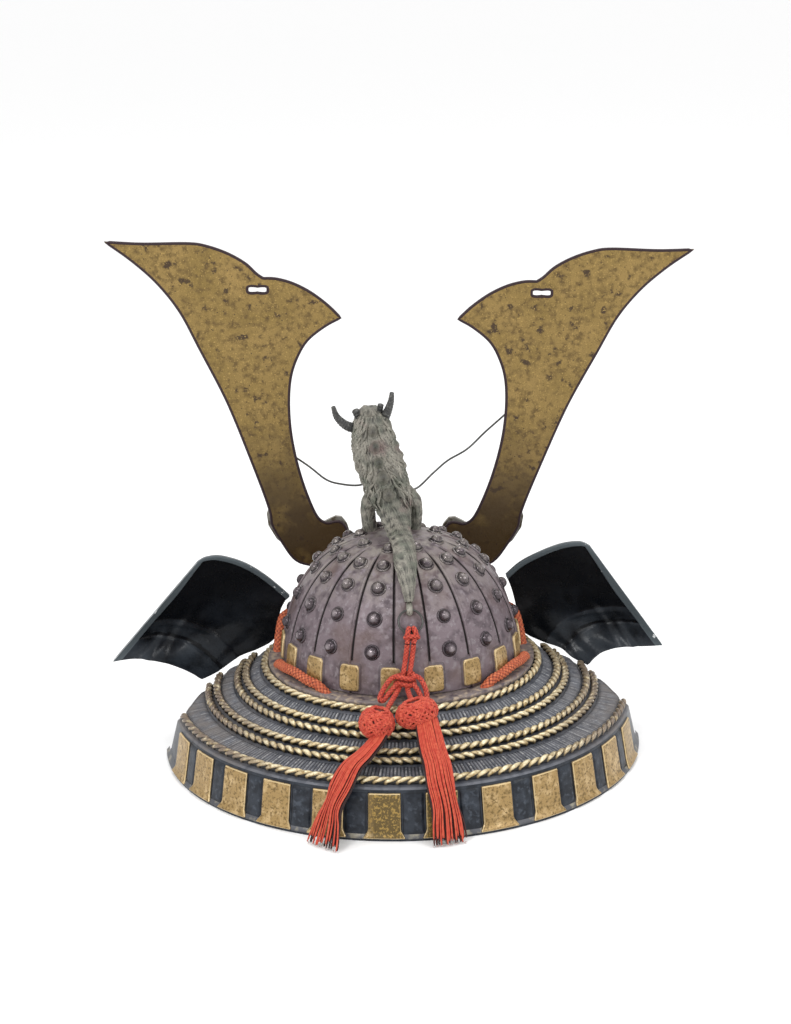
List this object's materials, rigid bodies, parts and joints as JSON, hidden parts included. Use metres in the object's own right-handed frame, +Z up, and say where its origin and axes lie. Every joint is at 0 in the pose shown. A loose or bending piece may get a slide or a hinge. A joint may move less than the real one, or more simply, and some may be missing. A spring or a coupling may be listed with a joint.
{
  "type": "ornamental kabuto helmet",
  "caption": "Cast ornamental samurai helmet with a riveted bowl, stepped neck guard, turned-back wings, tall horned crest, dragon and hanging tassels.",
  "frame": {"origin": "on the surface the helmet stands on, below the middle of the hard pieces", "axes": "+Z up, the back of the helmet faces -Y and the visor faces +Y, +X to the right seen from behind"},
  "size_m": [0.2516, 0.1878, 0.2063],
  "materials": {
    "patina": "purple grey antique patina",
    "slate": "dark slate antique patina with worn gilt edges",
    "black": "black gloss lacquer",
    "gilt": "aged matt brass",
    "verdigris": "grey beige antique patina",
    "wire": "dark wire",
    "red_cord": "braided silk",
    "orange_cord": "woven cord"
  },
  "bodies": {
    "root": {"bowl": "patina", "neck_guard": "slate", "visor": "patina", "fukigaeshi_left": "black", "fukigaeshi_right": "black", "crest": "gilt", "crest_mount": "gilt", "dragon": "verdigris", "whisker_left": "wire", "whisker_right": "wire", "tail_ring": "wire", "chin_cord": "orange_cord", "agemaki_hitch": "red_cord", "agemaki_cord_left": "red_cord", "agemaki_cord_right": "red_cord", "agemaki_knot": "red_cord", "tassel_left": "red_cord", "tassel_right": "red_cord"}
  },
  "joints": []
}
